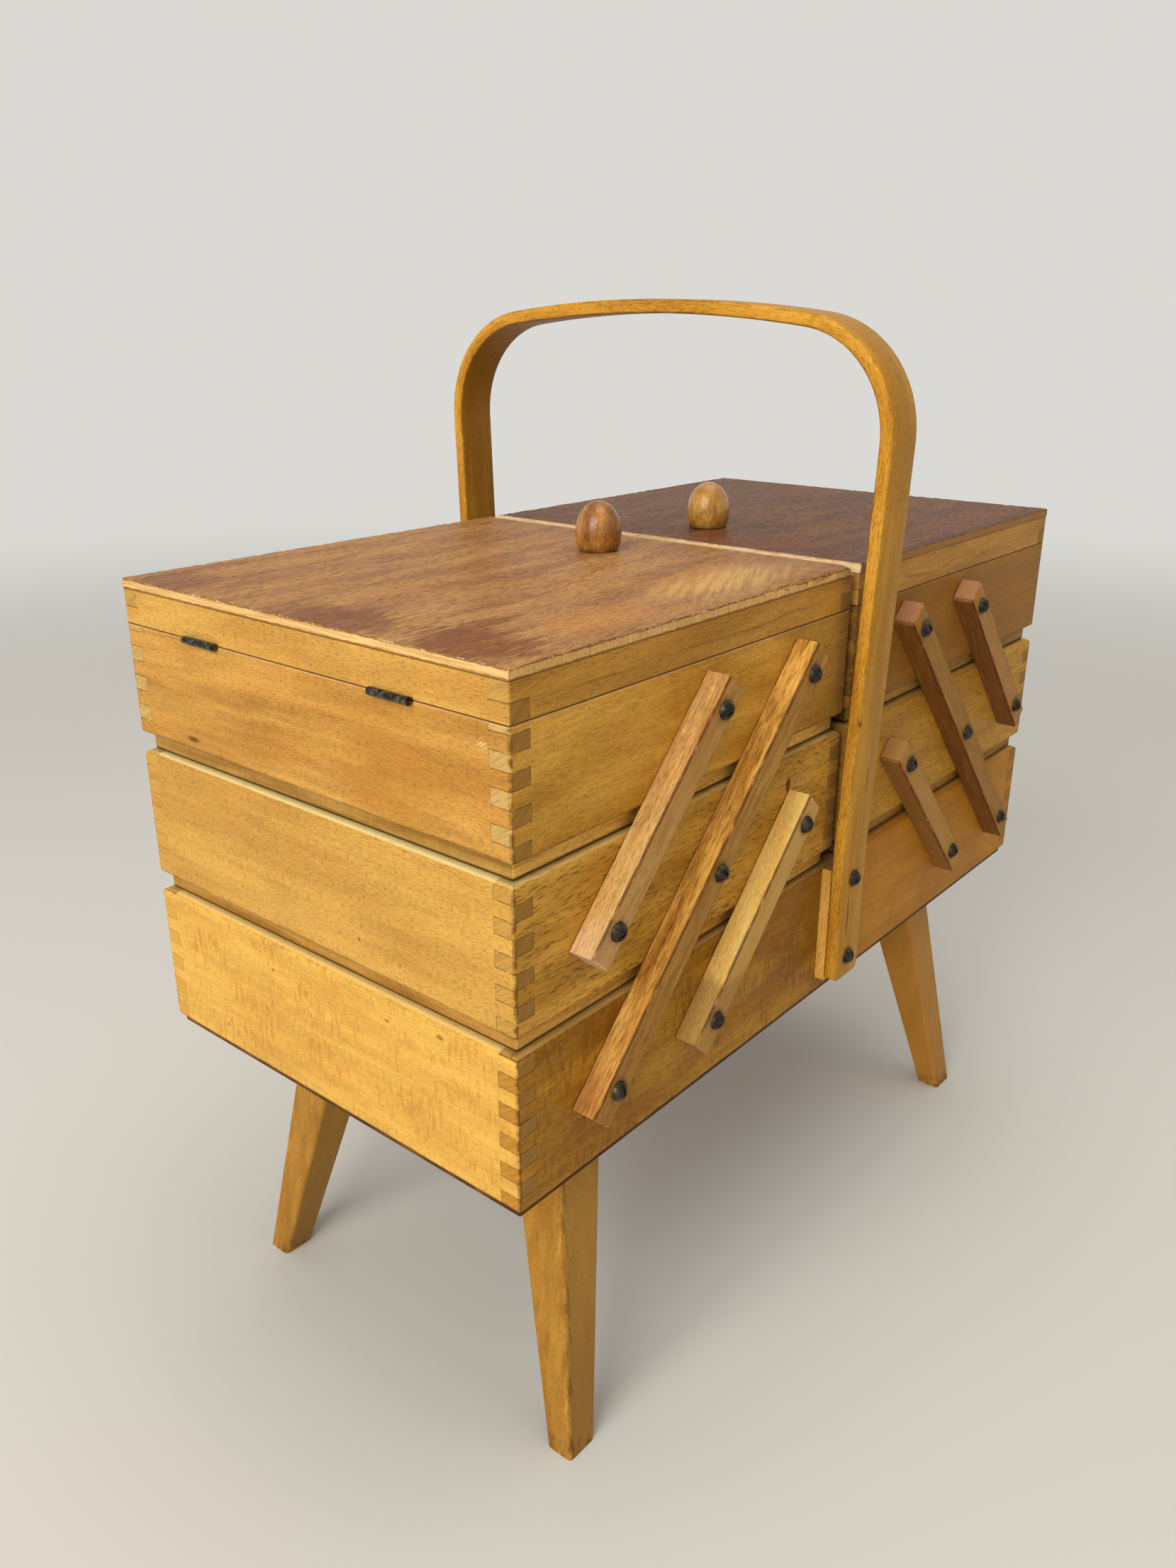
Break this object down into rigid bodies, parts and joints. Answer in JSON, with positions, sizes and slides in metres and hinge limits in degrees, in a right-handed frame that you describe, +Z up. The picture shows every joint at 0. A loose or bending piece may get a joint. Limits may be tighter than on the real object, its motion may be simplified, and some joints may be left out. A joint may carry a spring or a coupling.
{
  "type": "sewing box on legs",
  "caption": "Wooden cantilever sewing box on splayed legs, with trays that swing outward on slanted arms, hinged lids with round knobs and a bentwood carrying handle.",
  "frame": {"origin": "on the floor under the middle of the box", "axes": "+X along the box's length, +Y across it, +Z up"},
  "size_m": [0.4468, 0.252, 0.4673],
  "materials": {
    "wall_wood": "lacquered beech, golden and worn",
    "base_wood": "lacquered beech board",
    "bottom_wood": "dark hardboard edge",
    "leg_wood": "lacquered beech, worn along the edges",
    "arm_wood": "lacquered beech, worn",
    "handle_wood": "bent beech, lacquered",
    "lid_veneer": "stained beech veneer on plywood, worn",
    "knob_wood": "turned beech, glossy lacquer",
    "screw_bronze": "dark bronzed, slotted heads",
    "hinge_steel": "dull rolled steel"
  },
  "bodies": {
    "lower_box": {"handle_bow": "handle_wood", "handle_spacers": "handle_wood", "leg_back_left": "leg_wood", "leg_back_right": "leg_wood", "leg_front_left": "leg_wood", "leg_front_right": "leg_wood", "leg_screws": "screw_bronze", "lower_back_wall": "wall_wood", "lower_bottom_board": "bottom_wood", "lower_front_wall": "wall_wood", "lower_left_wall": "wall_wood", "lower_right_wall": "wall_wood", "lower_round_head_screws": "screw_bronze"},
    "left_long_arms": {"left_long_arm_back": "arm_wood", "left_long_arm_front": "arm_wood"},
    "left_lower_arms": {"left_lower_arm_back": "arm_wood", "left_lower_arm_front": "arm_wood"},
    "left_middle_tray": {"left_middle_back_wall": "wall_wood", "left_middle_base_board": "base_wood", "left_middle_front_wall": "wall_wood", "left_middle_inner_wall": "wall_wood", "left_middle_outer_wall": "wall_wood", "left_middle_pivot_screws": "screw_bronze"},
    "left_upper_arms": {"left_upper_arm_back": "arm_wood", "left_upper_arm_front": "arm_wood"},
    "left_upper_tray": {"left_hinge_tray_leaves": "hinge_steel", "left_upper_back_wall": "wall_wood", "left_upper_base_board": "base_wood", "left_upper_front_wall": "wall_wood", "left_upper_inner_wall": "wall_wood", "left_upper_outer_wall": "wall_wood", "left_upper_pivot_screws": "screw_bronze"},
    "left_lid": {"left_hinge_lid_leaves": "hinge_steel", "left_knob": "knob_wood", "left_lid_frame": "wall_wood", "left_lid_panel": "lid_veneer"},
    "right_long_arms": {"right_long_arm_back": "arm_wood", "right_long_arm_front": "arm_wood"},
    "right_lower_arms": {"right_lower_arm_back": "arm_wood", "right_lower_arm_front": "arm_wood"},
    "right_middle_tray": {"right_middle_back_wall": "wall_wood", "right_middle_base_board": "base_wood", "right_middle_front_wall": "wall_wood", "right_middle_inner_wall": "wall_wood", "right_middle_outer_wall": "wall_wood", "right_middle_pivot_screws": "screw_bronze"},
    "right_upper_arms": {"right_upper_arm_back": "arm_wood", "right_upper_arm_front": "arm_wood"},
    "right_upper_tray": {"right_hinge_tray_leaves": "hinge_steel", "right_upper_back_wall": "wall_wood", "right_upper_base_board": "base_wood", "right_upper_front_wall": "wall_wood", "right_upper_inner_wall": "wall_wood", "right_upper_outer_wall": "wall_wood", "right_upper_pivot_screws": "screw_bronze"},
    "right_lid": {"right_hinge_lid_leaves": "hinge_steel", "right_knob": "knob_wood", "right_lid_frame": "wall_wood", "right_lid_panel": "lid_veneer"}
  },
  "joints": [
    {"name": "left_swing", "type": "hinge", "parent": "lower_box", "child": "left_long_arms", "pos_m": [-0.177, 0, 0.1895], "axis": [0, -1, 0], "range_deg": [0, 86.4]},
    {"name": "left_middle_pivot", "type": "hinge", "parent": "left_long_arms", "child": "left_middle_tray", "pos_m": [-0.114, 0, 0.2565], "axis": [0, -1, 0], "range_deg": [-86.4, 0]},
    {"name": "left_upper_pivot", "type": "hinge", "parent": "left_long_arms", "child": "left_upper_tray", "pos_m": [-0.051, 0, 0.3235], "axis": [0, -1, 0], "range_deg": [-86.4, 0]},
    {"name": "left_lower_arm_pivot", "type": "hinge", "parent": "lower_box", "child": "left_lower_arms", "pos_m": [-0.1125, 0, 0.1895], "axis": [0, -1, 0], "range_deg": [0, 86.4]},
    {"name": "left_upper_arm_pivot", "type": "hinge", "parent": "left_middle_tray", "child": "left_upper_arms", "pos_m": [-0.1785, 0, 0.2565], "axis": [0, -1, 0], "range_deg": [0, 86.4]},
    {"name": "left_lid_hinge", "type": "hinge", "parent": "left_upper_tray", "child": "left_lid", "pos_m": [-0.2218, 0, 0.34065], "axis": [0, -1, 0], "range_deg": [0, 180]},
    {"name": "right_swing", "type": "hinge", "parent": "lower_box", "child": "right_long_arms", "pos_m": [0.177, 0, 0.1895], "axis": [0, 1, 0], "range_deg": [0, 86.4]},
    {"name": "right_middle_pivot", "type": "hinge", "parent": "right_long_arms", "child": "right_middle_tray", "pos_m": [0.114, 0, 0.2565], "axis": [0, 1, 0], "range_deg": [-86.4, 0]},
    {"name": "right_upper_pivot", "type": "hinge", "parent": "right_long_arms", "child": "right_upper_tray", "pos_m": [0.051, 0, 0.3235], "axis": [0, 1, 0], "range_deg": [-86.4, 0]},
    {"name": "right_lower_arm_pivot", "type": "hinge", "parent": "lower_box", "child": "right_lower_arms", "pos_m": [0.1125, 0, 0.1895], "axis": [0, 1, 0], "range_deg": [0, 86.4]},
    {"name": "right_upper_arm_pivot", "type": "hinge", "parent": "right_middle_tray", "child": "right_upper_arms", "pos_m": [0.1785, 0, 0.2565], "axis": [0, 1, 0], "range_deg": [0, 86.4]},
    {"name": "right_lid_hinge", "type": "hinge", "parent": "right_upper_tray", "child": "right_lid", "pos_m": [0.2218, 0, 0.34065], "axis": [0, 1, 0], "range_deg": [0, 180]}
  ],
  "couplings": [
    {"joint": "left_middle_pivot", "follows": "left_swing", "ratio": -1},
    {"joint": "left_upper_pivot", "follows": "left_swing", "ratio": -1},
    {"joint": "left_lower_arm_pivot", "follows": "left_swing", "ratio": 1},
    {"joint": "left_upper_arm_pivot", "follows": "left_swing", "ratio": 1},
    {"joint": "right_middle_pivot", "follows": "right_swing", "ratio": -1},
    {"joint": "right_upper_pivot", "follows": "right_swing", "ratio": -1},
    {"joint": "right_lower_arm_pivot", "follows": "right_swing", "ratio": 1},
    {"joint": "right_upper_arm_pivot", "follows": "right_swing", "ratio": 1}
  ]
}
